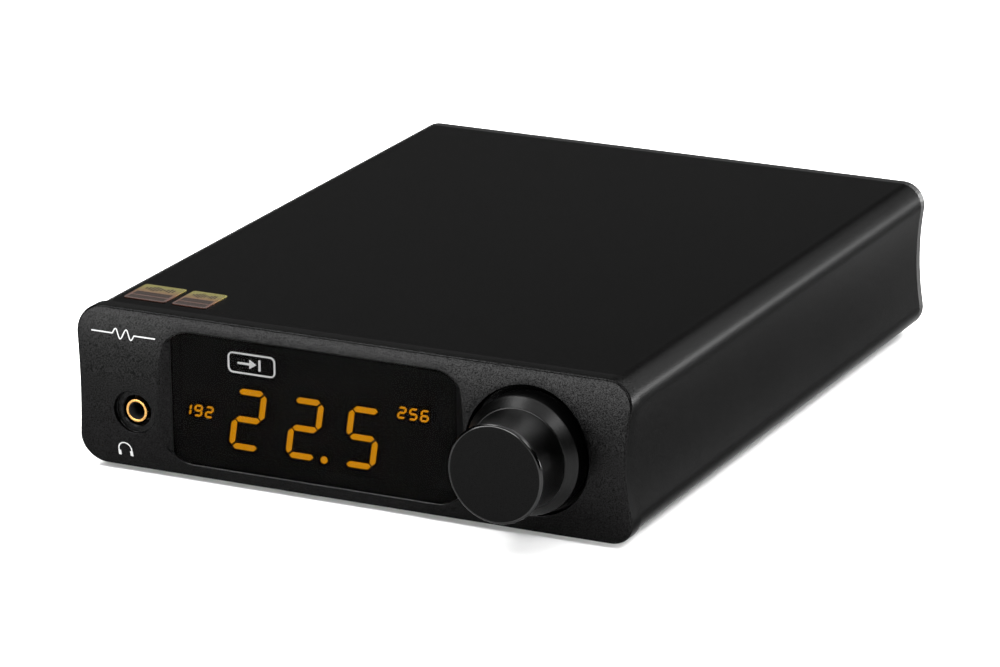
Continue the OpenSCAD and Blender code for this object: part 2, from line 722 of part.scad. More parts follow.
module converter_chips() color([0.05, 0.05, 0.06]) {
    chip(-20, 12, 7, 7, 1);
    chip(16, 24, 10, 10, 1.1);
    chip(4, 36, 6, 8, 1.1);
}

module amplifier_chips() color([0.05, 0.05, 0.06]) {
    for (x = [-40, -30]) for (y = [6, 18]) chip(x, y, 5, 4, 1.5);
    chip(-42, -28, 6, 8, 1.2);
}

module oscillators() color([0.7, 0.7, 0.72]) {
    chip(-8, 12, 5, 3.2, 1.3);
    chip(-8, 19, 5, 3.2, 1.3);
}

module electrolytic_capacitors() color([0.1, 0.1, 0.12]) {
    for (i = [0:3]) translate([24 + 9 * (i % 2), 4 - 9 * floor(i / 2), part_z]) cylinder(r = 3.9, h = 11.5);
    for (i = [0:3]) translate([-46 + 8 * i, -12, part_z]) cylinder(r = 3.1, h = 9);
    for (i = [0:1]) translate([-20 + 8 * i, -2, part_z]) cylinder(r = 3.1, h = 9);
}

module film_capacitors() color([0.75, 0.15, 0.1]) for (i = [0:5])
    chip(-46 + 5 * i, 30, 2.6, 7.2, 6.4);

module power_inductors() color([0.25, 0.25, 0.26]) for (place = [[46, 22], [46, 12], [46, 2]])
    translate([place[0], place[1], part_z]) cylinder(r = 4, h = 4.2);

module output_relays() color([0.85, 0.85, 0.82]) for (x = [-40, -28]) chip(x, 44, 8, 10, 9);

module voltage_regulators() color([0.06, 0.06, 0.06]) for (place = [[34, 14], [34, 22], [46, -8], [46, -16]])
    chip(place[0], place[1], 6.5, 3.5, 1.8);

sleeve();
front_panel();
rear_panel();
rear_screws();
underside_screws();
foot_front_left();
foot_front_right();
foot_rear_left();
foot_rear_right();
top_labels();
display_window();
display_module();
display_digits();
display_legends();
display_badge();
infrared_receiver();
front_board();
board_header();
encoder_body();
encoder_bushing();
encoder_washer();
encoder_nut();
encoder_switch();
encoder_rotor();
encoder_shaft();
volume_knob();
knob_set_screw();
phone_body();
phone_ring();
phone_contacts();
main_board();
line_left_barrel();
line_left_insulator();
line_right_barrel();
line_right_insulator();
coax_barrel();
coax_insulator();
phono_contacts();
phono_housings();
optical_socket();
optical_shutter();
usb_shell();
usb_insulator();
usb_contacts();
aerial_socket();
aerial_nut();
aerial_contact();
aerial_lead();
wireless_module();
dc_socket();
dc_pin();
converter_chips();
amplifier_chips();
oscillators();
electrolytic_capacitors();
film_capacitors();
power_inductors();
output_relays();
voltage_regulators();
socket_screws();
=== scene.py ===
"""Looks of a desktop DAC and headphone amplifier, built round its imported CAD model.

Shapes are worked out in millimetres and stored in metres. X points to the right of the front
panel, Y to the back and Z up, with the origin under the middle of the object.
"""

import math

import bmesh
import bpy
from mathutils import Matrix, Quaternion, Vector
from mathutils.geometry import delaunay_2d_cdt


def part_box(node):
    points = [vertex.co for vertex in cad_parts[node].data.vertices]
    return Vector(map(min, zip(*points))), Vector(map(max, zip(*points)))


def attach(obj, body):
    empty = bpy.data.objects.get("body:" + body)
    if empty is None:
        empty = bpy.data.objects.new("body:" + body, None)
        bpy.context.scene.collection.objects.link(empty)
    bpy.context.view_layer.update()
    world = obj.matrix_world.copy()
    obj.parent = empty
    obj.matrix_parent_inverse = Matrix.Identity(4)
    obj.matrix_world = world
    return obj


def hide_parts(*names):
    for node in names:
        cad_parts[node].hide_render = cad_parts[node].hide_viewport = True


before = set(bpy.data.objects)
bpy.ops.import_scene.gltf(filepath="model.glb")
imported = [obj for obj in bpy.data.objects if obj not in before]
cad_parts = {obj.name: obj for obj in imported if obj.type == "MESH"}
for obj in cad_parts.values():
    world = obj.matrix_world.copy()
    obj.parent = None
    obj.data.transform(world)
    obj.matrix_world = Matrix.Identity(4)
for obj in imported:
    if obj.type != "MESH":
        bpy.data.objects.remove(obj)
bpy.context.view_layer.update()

MM = 0.001
TAU = 2 * math.pi


def box(node):
    """Lowest and highest corner of a CAD node, in millimetres."""
    low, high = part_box(node)
    return Vector(low) / MM, Vector(high) / MM


# Places taken from the frame ---------------------------------------------------------------------

panel_low, panel_high = box("front_panel")
sleeve_low, sleeve_high = box("sleeve")
window_low, window_high = box("display_window")
knob_low, knob_high = box("volume_knob")
ring_low, ring_high = box("phone_ring")

FACE = panel_low.y
PANEL_BACK = sleeve_low.y
PANEL_W = panel_high.x - panel_low.x
PANEL_H = panel_high.z - panel_low.z
MID_Z = (panel_low.z + panel_high.z) / 2
SLEEVE_W = sleeve_high.x - sleeve_low.x
SLEEVE_H = sleeve_high.z - sleeve_low.z
REAR_IN = sleeve_high.y
KNOB_X = (knob_low.x + knob_high.x) / 2
KNOB_Z = (knob_low.z + knob_high.z) / 2
PHONE_X = (ring_low.x + ring_high.x) / 2
PHONE_Z = (ring_low.z + ring_high.z) / 2

# Design sizes of the casing, as in the CAD model -------------------------------------------------

CORNER_R = 5.2
STEP = 0.5
# How far the side walls curve in, and how far the front face curves back at its top and bottom
WAIST = 0.9
CROWN = 2.2
CROWN_R = ((PANEL_H / 2) ** 2 + CROWN**2) / (2 * CROWN)
WALL = 2
TAB_GAP = 0.05
# Sideways run of the recess's side walls per unit of depth
RECESS_SLOPE = 1.4
RECESS_R = 7
WINDOW_GAP = 0.05
WINDOW_Y = window_low.y
WINDOW_LEFT = window_low.x - WINDOW_GAP
WINDOW_RIGHT = window_high.x + WINDOW_GAP
RECESS_LOW = window_low.z - WINDOW_GAP
RECESS_HIGH = window_high.z + WINDOW_GAP
SCREEN_Y = window_high.y + WINDOW_GAP
WELL_R = 12.9
WELL_DEEP = 3.6
BUSHING_HOLE_R = 3.6
PHONE_WELL_R = 4.45
PHONE_WELL_DEEP = 1.3
PHONE_HOLE_R = 3.05
PHONE_BORE_R = 1.77


# Outlines ----------------------------------------------------------------------------------------

def arc(x, z, radius, start, end, steps):
    """Points along an arc, with both ends; angles in degrees from +X towards +Z."""
    angles = [math.radians(start + (end - start) * i / steps) for i in range(steps + 1)]
    return [(x + radius * math.cos(a), z + radius * math.sin(a)) for a in angles]


def circle(x, z, radius, steps):
    """Points once round a circle, clockwise as seen from the front."""
    return arc(x, z, radius, 0, -360, steps)[:-1]


def rectangle(x0, x1, z0, z1, radius=0.3, steps=4):
    """A rectangle with round corners, clockwise as seen from the front."""
    corners = ((x1, z1, 90), (x1, z0, 0), (x0, z0, -90), (x0, z1, -180))
    points = []
    for x, z, start in corners:
        inward_x = x - radius if x == x1 else x + radius
        inward_z = z - radius if z == z1 else z + radius
        points += arc(inward_x, inward_z, radius, start, start - 90, steps)
    return points


def casing_outline(inset, width=PANEL_W, height=PANEL_H, radius=CORNER_R, steps=14):
    """The section of the casing: four corner rolls joined by flat faces and hollow side walls."""
    least_r = 0.2
    half_w = width / 2 - inset
    half_h = height / 2 - inset
    r = max(radius - inset, least_r)
    k = half_h - r
    reach = (WAIST**2 + k * k) / (2 * WAIST)
    bend = math.degrees(math.atan2(k, reach - WAIST))
    hollow = reach - r
    right = arc(half_w - r, MID_Z + k, r, 90, -bend, steps)
    right += arc(half_w - WAIST + hollow, MID_Z, hollow, 180 - bend, 180 + bend, steps)[1:-1]
    right += arc(half_w - r, MID_Z - k, r, bend, -90, steps)
    return right + [(-x, z) for x, z in reversed(right)]


def barrel(z):
    """How far the front face lies behind its crown at height z."""
    return CROWN_R - math.sqrt(CROWN_R**2 - (z - MID_Z) ** 2)


# Mesh building -----------------------------------------------------------------------------------

SAME_POINT = 1e-5


class Shell:
    """A closed surface built from rings of points."""

    def __init__(self):
        self.mesh = bmesh.new()

    def ring(self, points):
        """A closed row of corners."""
        return [self.mesh.verts.new(p) for p in points]

    def bridge(self, *rings):
        """Joins each ring to the next with a band of faces."""
        for a, b in zip(rings, rings[1:]):
            for i in range(len(a)):
                j = (i + 1) % len(a)
                self.mesh.faces.new((a[i], a[j], b[j], b[i]))

    def fill(self, outer, holes=(), spacing=None, height=None):
        """Fills the area in X and Z between a ring and the holes in it, with a grid of extra points."""
        rings = [outer, *holes]
        verts = [v for ring in rings for v in ring]
        flat = [Vector((v.co.x, v.co.z)) for v in verts]
        edges = []
        start = 0
        for ring in rings:
            count = len(ring)
            edges += [(start + i, start + (i + 1) % count) for i in range(count)]
            start += count
        shapes = [[Vector((v.co.x, v.co.z)) for v in ring] for ring in rings]
        if spacing:
            flat += [p for p in grid_points(shapes[0], spacing) if clear_of(p, shapes, min(spacing))]
        keep_all, tolerance = 0, 1e-6
        found, _, faces, origin, _, _ = delaunay_2d_cdt(flat, edges, [], keep_all, tolerance)
        made = []
        for point, sources in zip(found, origin):
            known = [verts[i] for i in sources if i < len(verts)]
            made.append(known[0] if known else self.mesh.verts.new((point.x, height(point.y), point.y)))
        for face in faces:
            middle = sum((found[i] for i in face), Vector((0, 0))) / len(face)
            if inside(middle, shapes[0]) and not any(inside(middle, s) for s in shapes[1:]):
                corners = [made[i] for i in face]
                if len(set(corners)) == 3:
                    self.mesh.faces.new(corners)

    def cap(self, ring):
        """Closes a ring with one flat face."""
        self.mesh.faces.new(ring)

    def build(self, name, materials, smooth=35):
        """Turns the shell into an object in metres, shaded smooth up to an angle between faces."""
        bmesh.ops.remove_doubles(self.mesh, verts=self.mesh.verts, dist=SAME_POINT)
        bmesh.ops.recalc_face_normals(self.mesh, faces=self.mesh.faces)
        data = bpy.data.meshes.new(name)
        self.mesh.to_mesh(data)
        self.mesh.free()
        for v in data.vertices:
            v.co *= MM
        data.shade_smooth()
        data.set_sharp_from_angle(angle=math.radians(smooth))
        for material in materials if isinstance(materials, (list, tuple)) else [materials]:
            data.materials.append(material)
        piece = bpy.data.objects.new(name, data)
        bpy.context.scene.collection.objects.link(piece)
        return piece


def inside(p, shape):
    """Whether a flat point is inside a closed outline."""
    odd = False
    for a, b in zip(shape, shape[1:] + shape[:1]):
        if (a.y > p.y) != (b.y > p.y) and p.x < a.x + (b.x - a.x) * (p.y - a.y) / (b.y - a.y):
            odd = not odd
    return odd


def clear_of(p, shapes, space):
    """Whether a point is in the first outline, out of the others, and half a space from their corners."""
    if not inside(p, shapes[0]) or any(inside(p, s) for s in shapes[1:]):
        return False
    return all((p - q).length > space * 0.5 for s in shapes for q in s)


def grid_points(shape, spacing):
    """A grid of points over an outline's box."""
    step_x, step_z = spacing
    x0, x1 = min(p.x for p in shape), max(p.x for p in shape)
    z0, z1 = min(p.y for p in shape), max(p.y for p in shape)
    columns, rows = int((x1 - x0) / step_x), int((z1 - z0) / step_z)
    return [Vector((x0 + (i + 0.5) * step_x, z0 + (j + 0.5) * step_z))
            for i in range(columns) for j in range(rows)]


def lip(t, radius, wall=(0, 1)):
    """A rounded lip from a flat face into a wall: (growth of the opening, depth) at t from 0 to 1."""
    run, drop = wall
    return radius * ((1 - t) ** 2 - run * t * t), radius * drop * t * t


LIP_STEPS = [i / 4 for i in range(5)]


def lathe(shell, x, z, profile, steps):
    """Turns a profile of (radius, y) round an axis along Y; a radius of 0 closes an end."""
    rings = []
    for radius, y in profile:
        if radius < SAME_POINT:
            rings.append(shell.mesh.verts.new((x, y, z)))
        else:
            rings.append(shell.ring([(px, y, pz) for px, pz in circle(x, z, radius, steps)]))
    for a, b in zip(rings, rings[1:]):
        if isinstance(a, list) and isinstance(b, list):
            shell.bridge(a, b)
            continue
        ring, tip = (a, b) if isinstance(a, list) else (b, a)
        for i in range(steps):
            shell.mesh.faces.new((ring[i], ring[(i + 1) % steps], tip))


def rounded(profile, radii, steps=4):
    """A profile with its corners turned into short curves, which take up at most part of a side."""
    most = 0.45
    count = len(profile)
    points = []
    for i, p in enumerate(profile):
        if i in (0, count - 1) or not radii[i]:
            points.append(tuple(p))
            continue
        here, before, after = Vector(p), Vector(profile[i - 1]), Vector(profile[i + 1])
        a = here + (before - here).normalized() * min(radii[i], (before - here).length * most)
        b = here + (after - here).normalized() * min(radii[i], (after - here).length * most)
        for k in range(steps + 1):
            t = k / steps
            points.append(tuple(a * (1 - t) ** 2 + here * 2 * t * (1 - t) + b * t * t))
    return points


def block(shell, low, high):
    """A box between its lowest and its highest corner."""
    low, high = Vector(low), Vector(high)
    for v in bmesh.ops.create_cube(shell.mesh, size=1)["verts"]:
        v.co = low + (v.co + Vector((0.5, 0.5, 0.5))) * (high - low)


def accent(piece, index, chosen):
    """Gives some faces another finish: a test picks them by their normal and their middle."""
    for face in piece.data.polygons:
        if chosen(face.normal, face.center / MM):
            face.material_index = index


def place(piece, body, slot, *nodes):
    """Makes a piece move with a CAD body and stand for CAD nodes."""
    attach(piece, body)
    if nodes:
        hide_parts(*nodes)
    return piece


# Materials ---------------------------------------------------------------------------------------

def linear(value):
    """One channel as it looks on screen, from 0 to 255, as linear light."""
    c = value / 255
    return c / 12.92 if c <= 0.04045 else ((c + 0.055) / 1.055) ** 2.4


def shade(*rgb):
    """A grey or a colour as it looks on screen, for a colour socket."""
    r, g, b = rgb if len(rgb) == 3 else rgb * 3
    return (linear(r), linear(g), linear(b), 1)


class Finish:
    """A material with a Principled shader, and the nodes that its patterns need."""

    def __init__(self, name, **sockets):
        self.material = bpy.data.materials.new(name)
        self.material.use_nodes = True
        self.nodes = self.material.node_tree.nodes
        self.links = self.material.node_tree.links
        self.shader = self.nodes["Principled BSDF"]
        self.coords = None
        for socket, value in sockets.items():
            self.shader.inputs[socket.replace("_", " ")].default_value = value

    def place(self):
        """The piece's own coordinates, in metres."""
        if self.coords is None:
            self.coords = self.nodes.new("ShaderNodeTexCoord").outputs["Object"]
        return self.coords

    def noise(self, size, detail=2, stretch=(1, 1, 1)):
        """Cloudy noise whose features are about size millimetres across."""
        scale = self.nodes.new("ShaderNodeMapping")
        scale.inputs["Scale"].default_value = stretch
        self.links.new(self.place(), scale.inputs["Vector"])
        node = self.nodes.new("ShaderNodeTexNoise")
        node.inputs["Scale"].default_value = 1 / (size * MM)
        node.inputs["Detail"].default_value = detail
        self.links.new(scale.outputs["Vector"], node.inputs["Vector"])
        return node.outputs["Fac"]

    def cells(self, size):
        """Cells about size millimetres across, dark in the middle and pale at the edges."""
        node = self.nodes.new("ShaderNodeTexVoronoi")
        node.inputs["Scale"].default_value = 1 / (size * MM)
        self.links.new(self.place(), node.inputs["Vector"])
        return node.outputs["Distance"]

    def between(self, factor, low, high, start=0.3, end=0.7):
        """A number that goes from low to high as a pattern goes from start to end."""
        node = self.nodes.new("ShaderNodeMapRange")
        for socket, value in (("From Min", start), ("From Max", end), ("To Min", low), ("To Max", high)):
            node.inputs[socket].default_value = value
        self.links.new(factor, node.inputs["Value"])
        return node.outputs["Result"]

    def blend(self, factor, stops):
        """Colours along a pattern, as (place, colour) stops."""
        node = self.nodes.new("ShaderNodeValToRGB")
        elements = node.color_ramp.elements
        elements[0].position, elements[0].color = stops[0]
        elements[1].position, elements[1].color = stops[-1]
        for position, color in stops[1:-1]:
            elements.new(position).color = color
        self.links.new(factor, node.inputs["Fac"])
        return node.outputs["Color"]

    def math(self, operation, a, b):
        """Two patterns, or a pattern and a number, worked into one."""
        node = self.nodes.new("ShaderNodeMath")
        node.operation = operation
        for value, socket in zip((a, b), node.inputs):
            if isinstance(value, (int, float)):
                socket.default_value = value
            else:
                self.links.new(value, socket)
        return node.outputs["Value"]

    def axis(self, name):
        """One coordinate of the piece, in metres."""
        node = self.nodes.new("ShaderNodeSeparateXYZ")
        self.links.new(self.place(), node.inputs["Vector"])
        return node.outputs[name]

    def set(self, socket, output):
        """Drives one of the shader's sockets with a pattern."""
        self.links.new(output, self.shader.inputs[socket])
        return self

    def bump(self, output, height):
        """Raises the surface by a pattern, by height millimetres."""
        node = self.nodes.new("ShaderNodeBump")
        node.inputs["Distance"].default_value = height * MM
        self.links.new(output, node.inputs["Height"])
        return self.set("Normal", node.outputs["Normal"])


def blasted(name, dark, light, roughness, grain=0.16, height=0.012, edge=0.62):
    """Black anodised aluminium with a fine blasted grain and a faint cloudiness of the dye."""
    finish = Finish(name, Metallic=1.0, Specular_Tint=(edge, edge, edge, 1))
    cloud_size, cloud_share = 22, 0.1
    fine = finish.noise(grain)
    cloud = finish.noise(cloud_size)
    mixed = finish.math("ADD", finish.math("MULTIPLY", fine, 1 - cloud_share),
                        finish.math("MULTIPLY", cloud, cloud_share))
    finish.set("Base Color", finish.blend(mixed, [(0.38, dark), (0.62, light)]))
    finish.set("Roughness", finish.between(mixed, roughness - 0.06, roughness + 0.06))
    return finish.bump(fine, height).material


def turned(name, dark, light, roughness, edge):
    """Black anodised aluminium with the fine lines that a lathe leaves round the Y axis."""
    finish = Finish(name, Metallic=1.0, Specular_Tint=(edge, edge, edge, 1))
    line_size, stretch, line_height = 0.08, (0.02, 1, 0.02), 0.018
    lines = finish.noise(line_size, stretch=stretch)
    finish.set("Base Color", finish.blend(lines, [(0.38, dark), (0.62, light)]))
    finish.set("Roughness", finish.between(lines, roughness - 0.04, roughness + 0.04))
    return finish.bump(lines, line_height).material


def moulded(name, dark, light, roughness, height=0.01, specular=0.4):
    """Moulded plastic or rubber with a fine spark-eroded texture."""
    finish = Finish(name, Specular_IOR_Level=specular)
    grain_size, cloud_size = 0.35, 6
    fine = finish.noise(grain_size)
    cloud = finish.noise(cloud_size)
    finish.set("Base Color", finish.blend(cloud, [(0.3, dark), (0.7, light)]))
    finish.set("Roughness", finish.between(fine, roughness - 0.08, roughness + 0.08))
    return finish.bump(fine, height).material


def plated(name, dark, light, roughness):
    """Plated or turned metal with fine lines round the Y axis."""
    finish = Finish(name, Metallic=1.0)
    line_size, detail, stretch, line_height = 0.6, 3, (1, 8, 1), 0.002
    lines = finish.noise(line_size, detail, stretch)
    finish.set("Base Color", finish.blend(lines, [(0.3, dark), (0.7, light)]))
    finish.set("Roughness", finish.between(lines, roughness - 0.06, roughness + 0.08))
    return finish.bump(lines, line_height).material


def glowing(name, dark, light, strength):
    """A lit diffuser: even light with a faint mottle."""
    finish = Finish(name, Emission_Strength=strength)
    mottle_size, mottle_height = 0.5, 0.004
    mottle = finish.noise(mottle_size)
    color = finish.blend(mottle, [(0.3, dark), (0.7, light)])
    finish.set("Emission Color", color)
    finish.set("Base Color", color)
    finish.set("Roughness", finish.between(mottle, 0.4, 0.6))
    return finish.bump(mottle, mottle_height).material


def smoked_glass():
    """The tinted acrylic in front of the display, with the faint waviness of a moulded sheet."""
    finish = Finish("smoked_acrylic", Transmission_Weight=1.0, IOR=1.08, Roughness=0.0)
    wave_size, wave_height = 9, 0.0004
    wave = finish.noise(wave_size, 1)
    finish.set("Base Color", finish.blend(wave, [(0.3, shade(84)), (0.7, shade(87))]))
    return finish.bump(wave, wave_height).material


def laminate(name, dark, light):
    """Solder mask over copper tracks, seen as slightly raised lines."""
    finish = Finish(name, Specular_IOR_Level=0.5)
    track_pitch, track_height = 1.6, 0.02
    tracks = finish.cells(track_pitch)
    finish.set("Base Color", finish.blend(tracks, [(0.4, light), (0.5, dark)]))
    finish.set("Roughness", finish.between(tracks, 0.3, 0.45))
    return finish.bump(tracks, track_height).material


def foil(low, high):
    """Printed foil that runs from copper at the front to gold at the back."""
    finish = Finish("label_foil", Metallic=0.9)
    speckle_size, speckle_share, speckle_height = 0.25, 0.16, 0.01
    along = finish.between(finish.axis("Y"), 0, 1, low * MM, high * MM)
    speckle = finish.math("MULTIPLY", finish.noise(speckle_size), speckle_share)
    colors = [(0.05, shade(42, 22, 16)), (0.35, shade(64, 31, 13)), (0.6, shade(84, 54, 12)),
              (0.95, shade(90, 84, 15))]
    finish.set("Base Color", finish.blend(finish.math("ADD", along, speckle), colors))
    finish.set("Roughness", finish.between(speckle, 0.35, 0.55, 0.04, 0.12))
    return finish.bump(speckle, speckle_height).material


def ink(name, dark, light, **sockets):
    """Screen-printed ink, slightly uneven."""
    finish = Finish(name, **sockets)
    mottle_size, mottle_height = 0.3, 0.004
    mottle = finish.noise(mottle_size)
    finish.set("Base Color", finish.blend(mottle, [(0.3, dark), (0.7, light)]))
    finish.set("Roughness", finish.between(mottle, 0.5, 0.7))
    return finish.bump(mottle, mottle_height).material


def make_materials():
    """Every finish of the object, by a short name."""
    label_low, label_high = box("top_labels")
    return {
        "sleeve": blasted("sleeve_anodised", shade(21), shade(26), 0.33, height=0.008, edge=0.45),
        "panel": blasted("panel_anodised", shade(6), shade(24), 0.34, grain=0.24, height=0.006, edge=0.5),
        # A lighter copy of the panel's anodising, put on the upward-sloping lower lip of the recess: a
        # painted highlight.
        "painted_highlight_edge": blasted("panel_painted_highlight_edge", shade(26), shade(56), 0.3, grain=0.24, height=0.006,
                            edge=0.5),
        "rear": blasted("rear_anodised", shade(26), shade(34), 0.44),
        "knob": turned("knob_anodised", shade(21), shade(25), 0.34, 0.82),
        "knob_rim": turned("knob_rim_cut", shade(34), shade(39), 0.15, 0.5),
        "knob_face": blasted("knob_face_anodised", shade(10), shade(13), 0.28, grain=0.12, height=0.003),
        "screw": blasted("screw_black", shade(42), shade(56), 0.35),
        "rubber": moulded("foot_rubber", shade(22), shade(30), 0.75, height=0.03, specular=0.2),
        "foil": foil(label_low.y, label_high.y),
        "foil_ink": ink("foil_ink", shade(22, 15, 12), shade(30, 21, 16), Specular_IOR_Level=0.08),
        "white_ink": ink("white_ink", shade(136), shade(154)),
        "window": smoked_glass(),
        "housing": moulded("display_black", shade(8), shade(11), 0.6, specular=0.1),
        "amber": glowing("amber_light", shade(196, 128, 3), shade(208, 138, 8), 9),
        "white": glowing("white_light", shade(200), shade(216), 8.5),
        "infrared": moulded("infrared_plastic", shade(20, 14, 22), shade(28, 20, 30), 0.2),
        "board": laminate("circuit_board", shade(10, 52, 30), shade(24, 78, 46)),
        "black": moulded("black_plastic", shade(24), shade(32), 0.5),
        "zinc": plated("die_cast_zinc", shade(150), shade(185), 0.35),
        "steel": plated("plated_steel", shade(150), shade(185), 0.28),
        "pale": moulded("pale_plastic", shade(176, 174, 166), shade(192, 190, 182), 0.4),
        "red": moulded("red_plastic", shade(150, 22, 18), shade(176, 32, 26), 0.4),
        "gold": plated("gold_plate", shade(144, 106, 58), shade(168, 130, 76), 0.28),
        "chip": moulded("chip_epoxy", shade(28, 28, 30), shade(42, 42, 46), 0.55),
        "capacitor": moulded("capacitor_sleeve", shade(26, 26, 34), shade(38, 38, 48), 0.35),
        "ferrite": moulded("ferrite", shade(52, 50, 50), shade(72, 70, 70), 0.6, height=0.03),
    }


# Stage -------------------------------------------------------------------------------------------

# Angles in degrees, lens and sensor in millimetres, places in metres
CAMERA_AZIMUTH = 26.806
CAMERA_ELEVATION = 18.142
CAMERA_ROLL = -0.729
CAMERA_DISTANCE = 1.0239
CAMERA_LENS = 181.26
CAMERA_SENSOR = 36
CAMERA_AIM = (-0.0023, -0.00044, 0.01457)
LIGHT_AIM = (0, 0, 0.015)
FLOOR_HALF = 4.0
SKY_STRENGTH = 0.02


def aimed(name, data, azimuth, elevation, distance, aim, roll=0.0):
    """An object that looks at a point from an azimuth and elevation, in degrees and metres."""
    a, e = math.radians(azimuth), math.radians(elevation)
    back = Vector((math.sin(a) * math.cos(e), -math.cos(a) * math.cos(e), math.sin(e)))
    thing = bpy.data.objects.new(name, data)
    bpy.context.scene.collection.objects.link(thing)
    thing.location = Vector(aim) + back * distance
    thing.rotation_mode = "QUATERNION"
    thing.rotation_quaternion = back.to_track_quat("Z", "Y") @ Quaternion((0, 0, 1), math.radians(roll))
    return thing


def make_camera():
    """The camera at the photograph's viewing angle."""
    data = bpy.data.cameras.new("camera")
    data.lens = CAMERA_LENS
    data.sensor_width = CAMERA_SENSOR
    data.clip_start, data.clip_end = 0.01, 50
    camera = aimed("camera", data, CAMERA_AZIMUTH, CAMERA_ELEVATION, CAMERA_DISTANCE,
                   CAMERA_AIM, CAMERA_ROLL)
    bpy.context.scene.camera = camera


def soft_light(name, azimuth, elevation, distance, width, height, power):
    """A rectangular light that points at the object."""
    data = bpy.data.lights.new(name, "AREA")
    data.shape = "RECTANGLE"
    data.size, data.size_y = width, height
    data.energy = power
    return aimed(name, data, azimuth, elevation, distance, LIGHT_AIM)


def make_floor():
    """A large sheet of pale paper."""
    shell = bmesh.new()
    bmesh.ops.create_grid(shell, x_segments=8, y_segments=8, size=FLOOR_HALF)
    data = bpy.data.meshes.new("floor")
    shell.to_mesh(data)
    shell.free()
    finish = Finish("floor_paper", Roughness=0.9, Specular_IOR_Level=0.1)
    fibre_size = 3
    pale, paler = (0.9, 0.9, 0.9, 1), (0.92, 0.92, 0.92, 1)
    finish.set("Base Color", finish.blend(finish.noise(fibre_size), [(0.3, pale), (0.7, paler)]))
    data.materials.append(finish.material)
    floor = bpy.data.objects.new("floor", data)
    bpy.context.scene.collection.objects.link(floor)


def make_lighting():
    """A faint even sky and soft lights all round."""
    world = bpy.data.worlds.new("studio")
    bpy.context.scene.world = world
    world.use_nodes = True
    sky = world.node_tree.nodes["Background"]
    sky.inputs["Color"].default_value = (1, 1, 1, 1)
    sky.inputs["Strength"].default_value = SKY_STRENGTH
    bpy.context.scene.view_settings.view_transform = "Standard"

    soft_light("light_top", 0, 88, 1.6, 3.0, 3.0, 96)
    soft_light("light_front_left", -23, 11, 1.5, 1.0, 0.34, 30)
    soft_light("light_high_left", -54, 58, 1.5, 0.35, 0.35, 14)
    soft_light("light_high_right", 158, 32, 1.6, 1.2, 1.1, 36)
    soft_light("light_low_right", 147, 3, 1.6, 1.5, 0.3, 92)
    soft_light("light_back_left", 215, 24, 1.6, 1.2, 0.6, 4)
    soft_light("light_front_right", 46, 40, 1.5, 0.4, 0.4, 14)


# Casing ------------------------------------------------------------------------------------------

def recess_outline(grow):
    """The recess's mouth on the front face, and for each point which way its side wall slopes."""
    corner_steps, spacing, least_deep = 10, 1.5, 0.05
    points = []
    run = RECESS_SLOPE * (WINDOW_Y - FACE)
    outer = rectangle(WINDOW_LEFT - run - grow, WINDOW_RIGHT + run + grow,
                      RECESS_LOW - grow, RECESS_HIGH + grow, RECESS_R + grow, corner_steps)
    for i, (x, z) in enumerate(outer):
        points.append((x, z))
        nx, nz = outer[(i + 1) % len(outer)]
        pieces = max(1, int(math.hypot(nx - x, nz - z) / spacing))
        points += [(x + (nx - x) * k / pieces, z + (nz - z) * k / pieces) for k in range(1, pieces)]
    made = []
    for x, z in points:
        reach = RECESS_SLOPE * max(WINDOW_Y - FACE - barrel(z), least_deep) + grow
        side = 0
        if x < WINDOW_LEFT - reach:
            x, side = WINDOW_LEFT - reach, -1
        if x > WINDOW_RIGHT + reach:
            x, side = WINDOW_RIGHT + reach, 1
        made.append((x, z, side))
    return made


def recess_rings(shell):
    """Lip, side walls and window pocket of the display recess; returns the first and last ring."""
    slope = math.hypot(RECESS_SLOPE, 1)
    lip_r, foot_share, least_drop = 0.26, 0.3, 0.01
    rings = []
    base = recess_outline(0)
    grown = recess_outline(lip_r)
    for t in LIP_STEPS:
        ring = []
        for (x, z, side), (gx, gz, _) in zip(base, grown):
            wall = (RECESS_SLOPE / slope, 1 / slope) if side else (0, 1)
            grow, depth = lip(t, 1, wall)
            px, pz = x + (gx - x) * grow, z + (gz - z) * grow
            ring.append((px, FACE + barrel(pz) + lip_r * depth, pz))
        rings.append(ring)
    foot, inner = [], []
    for (x, z, side), last in zip(base, rings[-1]):
        beyond = max(WINDOW_LEFT - x, x - WINDOW_RIGHT, 0)
        inner_x = min(max(x, WINDOW_LEFT), WINDOW_RIGHT)
        inner.append((inner_x, z))
        if side:
            start = Vector(last)
            foot.append(start.lerp(Vector((inner_x, WINDOW_Y, z)), foot_share))
        else:
            sloped = WINDOW_Y - beyond / RECESS_SLOPE if beyond else (last[1] + WINDOW_Y) / 2
            foot.append((x, max(sloped, last[1] + least_drop), z))
    rings.append(foot)
    rings.append([(x, WINDOW_Y, z) for x, z in inner])
    rings.append([(x, SCREEN_Y, z) for x, z in inner])
    made = [shell.ring(r) for r in rings]
    shell.bridge(*made)
    return made[0], made[-1]


def round_well(shell, x, z, radius, lip_r, profile, steps):
    """A round well in the barrel face: a lip that follows the face, then flat steps down."""
    rings = []
    for t in LIP_STEPS:
        grow, depth = lip(t, lip_r)
        rings.append(shell.ring([(px, FACE + barrel(pz) + depth, pz)
                                 for px, pz in circle(x, z, radius + grow, steps)]))
    for r, depth in profile:
        rings.append(shell.ring([(px, FACE + depth, pz) for px, pz in circle(x, z, r, steps)]))
    shell.bridge(*rings)
    return rings[0], rings[-1]


